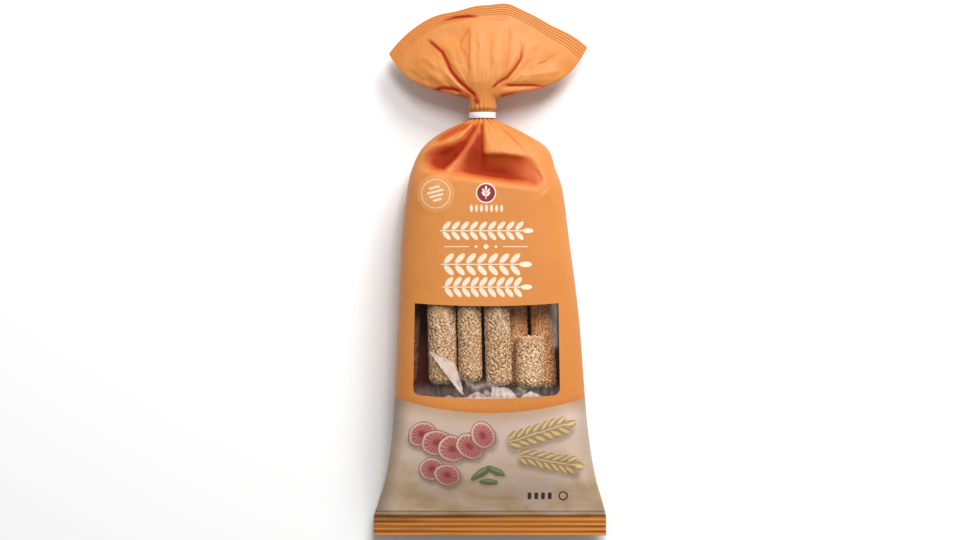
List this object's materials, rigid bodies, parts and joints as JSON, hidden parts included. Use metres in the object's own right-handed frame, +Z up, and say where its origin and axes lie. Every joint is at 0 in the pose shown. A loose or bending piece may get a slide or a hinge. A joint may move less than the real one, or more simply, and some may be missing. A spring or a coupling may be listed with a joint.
{
  "type": "bag of sesame breadsticks",
  "caption": "Printed film bag of sesame breadsticks, gathered and tied at the neck below a flared top, with a clear window and a flat crimped bottom seal.",
  "frame": {"origin": "on the floor under the middle of the lying bag", "axes": "+X across the bag to its right as its front is read, +Y along it from the bottom seal to the flared top, +Z up out of its front"},
  "size_m": [0.1446, 0.3304, 0.048],
  "materials": {
    "printed_film": "satin orange print on thin plastic film",
    "clear_film": "clear glossy plastic film",
    "sesame_bread": "dry baked crust under pale sesame seeds",
    "tie_plastic": "white plastic band"
  },
  "bodies": {
    "root": {"bag": "printed_film", "window_film": "clear_film", "breadstick_1": "sesame_bread", "breadstick_2": "sesame_bread", "breadstick_3": "sesame_bread", "breadstick_4": "sesame_bread", "breadstick_5": "sesame_bread", "breadstick_6": "sesame_bread", "breadstick_7": "sesame_bread", "tie": "tie_plastic"}
  },
  "joints": []
}
